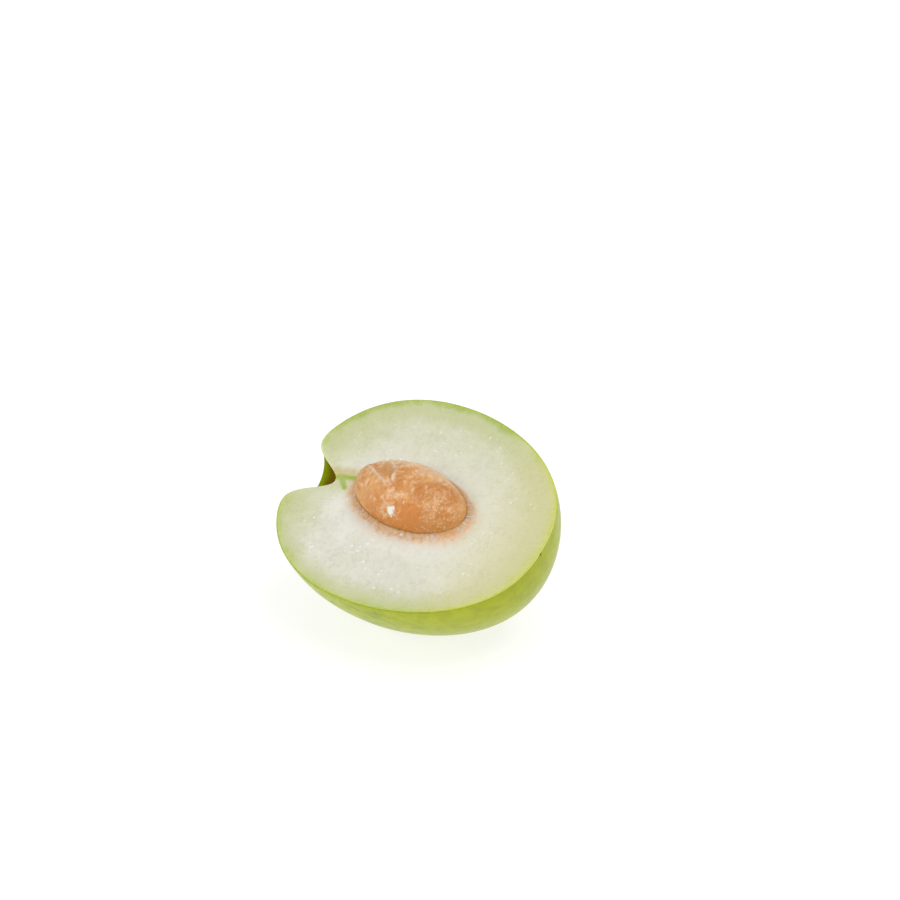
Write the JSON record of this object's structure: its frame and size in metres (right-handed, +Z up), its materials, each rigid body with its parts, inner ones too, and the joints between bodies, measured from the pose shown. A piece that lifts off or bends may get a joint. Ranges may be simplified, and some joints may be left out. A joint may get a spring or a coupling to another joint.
{
  "type": "jujube",
  "caption": "Fresh green jujube cut in half lengthwise, pale flesh up, with its whole stone still lying in the flesh; lies leaning on its belly.",
  "frame": {"origin": "middle of the part's box at the level of the surface that it lies on", "axes": "+X along the fruit's long axis towards the blossom end, +Z up; the cut face looks towards -Y and up"},
  "size_m": [0.0626, 0.0496, 0.0412],
  "materials": {
    "flesh_and_skin": "satin",
    "stone_film": "satin"
  },
  "bodies": {
    "root": {"fruit_half": "flesh_and_skin", "stone": "stone_film"}
  },
  "joints": []
}
